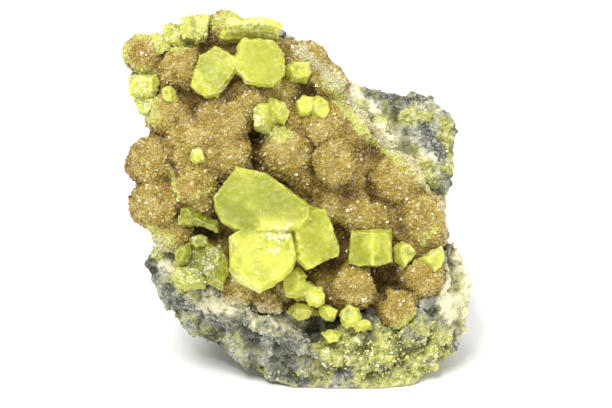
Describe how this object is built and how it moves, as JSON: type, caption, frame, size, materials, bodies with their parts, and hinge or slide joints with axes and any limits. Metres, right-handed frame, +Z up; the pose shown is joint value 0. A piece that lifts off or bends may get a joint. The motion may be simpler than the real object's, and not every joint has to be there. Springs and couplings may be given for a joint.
{
  "type": "native sulfur crystal specimen",
  "caption": "Hand specimen: yellow native sulfur crystals on a honey-brown ball-shaped druse in a broken lump of grey limestone, resting on a flat broken base.",
  "frame": {"origin": "middle of the flat broken base, on the surface that the specimen rests on", "axes": "+Z up, out of the base; the crystal face looks towards -Y and leans back; +X to the right of someone facing it"},
  "size_m": [0.073, 0.049, 0.0746],
  "materials": {
    "limestone": "rough broken grey limestone, stained and crusted with yellow sulfur",
    "druse": "sugary honey-brown druse of glassy micro-crystals",
    "sulfur": "translucent lemon-yellow sulfur with a resinous to adamantine lustre"
  },
  "bodies": {
    "root": {"limestone_matrix": "limestone", "druse_crust": "druse", "sulfur_centre_group": "sulfur", "sulfur_square": "sulfur", "sulfur_beside_square": "sulfur", "sulfur_right": "sulfur", "sulfur_lower_pair": "sulfur", "sulfur_under_pair": "sulfur", "sulfur_lower_wedge": "sulfur", "sulfur_lower_right": "sulfur", "sulfur_sill": "sulfur", "sulfur_left_wedge": "sulfur", "sulfur_left_nest": "sulfur", "sulfur_top_pair": "sulfur", "sulfur_top_ledge": "sulfur", "sulfur_crown_cluster": "sulfur", "sulfur_left_edge": "sulfur", "sulfur_on_ball": "sulfur", "sulfur_upper_knot": "sulfur", "sulfur_pale_discs": "sulfur", "sulfur_top_right": "sulfur", "sulfur_upper_left_chip": "sulfur"}
  },
  "joints": []
}
